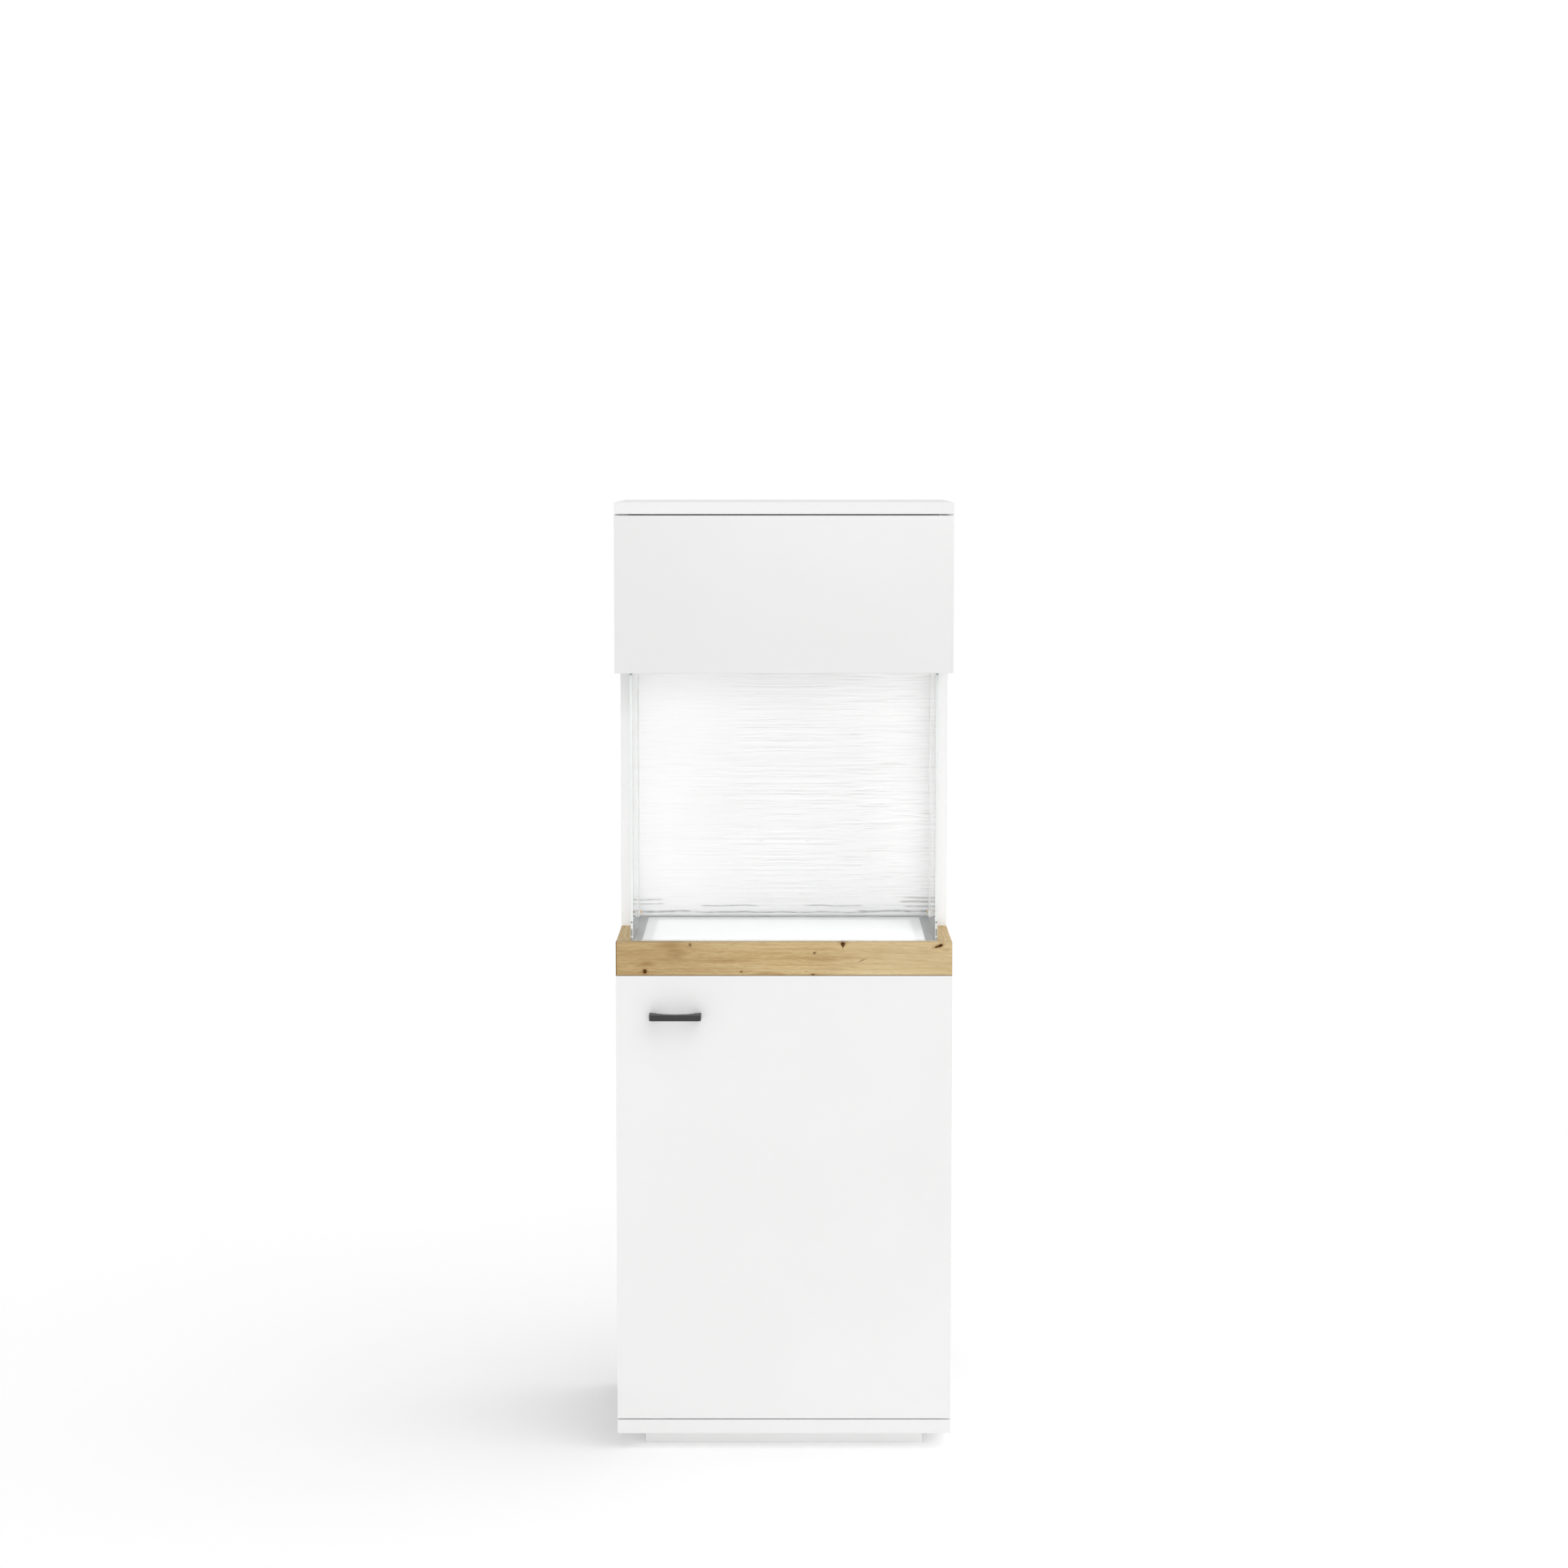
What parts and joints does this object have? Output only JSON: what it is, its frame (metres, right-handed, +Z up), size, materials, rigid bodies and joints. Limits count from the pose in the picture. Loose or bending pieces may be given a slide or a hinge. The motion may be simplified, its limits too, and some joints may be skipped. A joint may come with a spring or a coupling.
{
  "type": "display cabinet",
  "caption": "Tall white display cabinet with a glazed corner showcase over a lit floor, an oak band, a cupboard door with a bow handle, and a set-back plinth.",
  "frame": {"origin": "on the floor, in the middle of the outline in plan, the bow handle included", "axes": "+Z up, the doors face -Y, +X to the right seen from the front"},
  "size_m": [0.52, 0.428, 1.477],
  "materials": {
    "white_board": "matt white lacquered board",
    "back_board": "thin white hardboard",
    "relief_wall": "white board with a rough-sawn relief",
    "oak": "oiled knotty oak",
    "clear_glass": "clear glass with polished edges",
    "black_rubber": "matt black",
    "pale_plastic": "satin moulded",
    "brass": "satin",
    "satin_aluminium": "satin anodised",
    "opal_acrylic": "opal, lit from below",
    "led_board": "white circuit strip",
    "led_lens": "yellow lens",
    "black_plastic": "black moulded",
    "steel": "zinc plated",
    "beech": "fluted beech",
    "graphite": "graphite powder coat"
  },
  "bodies": {
    "cabinet": {"top_panel": "white_board", "bottom_panel": "white_board", "side_panel_left": "white_board", "side_panel_right": "white_board", "mid_board": "white_board", "hood_shelf": "white_board", "plinth_front": "white_board", "plinth_rear": "white_board", "plinth_left": "white_board", "plinth_right": "white_board", "light_box": "white_board", "lower_shelf": "white_board", "back_panel": "back_board", "texture_wall": "relief_wall", "oak_front_rail": "oak", "oak_rail_left": "oak", "oak_rail_right": "oak", "side_glass_left": "clear_glass", "side_glass_right": "clear_glass", "glass_bumpers": "black_rubber", "cable_grommet": "black_rubber", "glass_retainers": "pale_plastic", "latch_body": "pale_plastic", "magnet_catch": "pale_plastic", "door_bumpers": "pale_plastic", "led_lead": "pale_plastic", "pivot_bushes": "pale_plastic", "retainer_screws": "brass", "light_trim": "satin_aluminium", "light_diffuser": "opal_acrylic", "led_strips": "led_board", "led_chips": "led_lens", "led_driver": "black_plastic", "plinth_screws": "steel", "shelf_pins": "steel", "pivot_plate": "steel", "pivot_plate_screws": "steel", "fitting_screws": "steel", "cam_fittings": "steel", "cam_bolts": "steel", "wall_bracket": "steel", "wall_bracket_screws": "steel", "dowels": "beech"},
    "lower_door": {"lower_door_panel": "white_board", "lower_pivot_pins": "steel", "door_handle": "graphite", "handle_screws": "steel", "catch_strike": "steel"},
    "upper_door": {"upper_door_panel": "white_board", "upper_door_glass": "clear_glass", "glass_clamps": "steel", "clamp_screws": "steel", "upper_pivot_pins": "steel", "latch_strike": "steel"},
    "latch_plunger": {"latch_plunger": "pale_plastic"}
  },
  "joints": [
    {"name": "lower_door_swing", "type": "hinge", "parent": "cabinet", "child": "lower_door", "pos_m": [0.254, -0.177, 0.398], "axis": [0, 0, 1], "range_deg": [0, 100]},
    {"name": "upper_door_swing", "type": "hinge", "parent": "cabinet", "child": "upper_door", "pos_m": [0.254, -0.177, 1.336], "axis": [0, 0, 1], "range_deg": [0, 92]},
    {"name": "latch_press", "type": "slide", "parent": "cabinet", "child": "latch_plunger", "axis": [0, 1, 0], "range_m": [0, 0.003], "stiffness_N_per_m": 250}
  ]
}
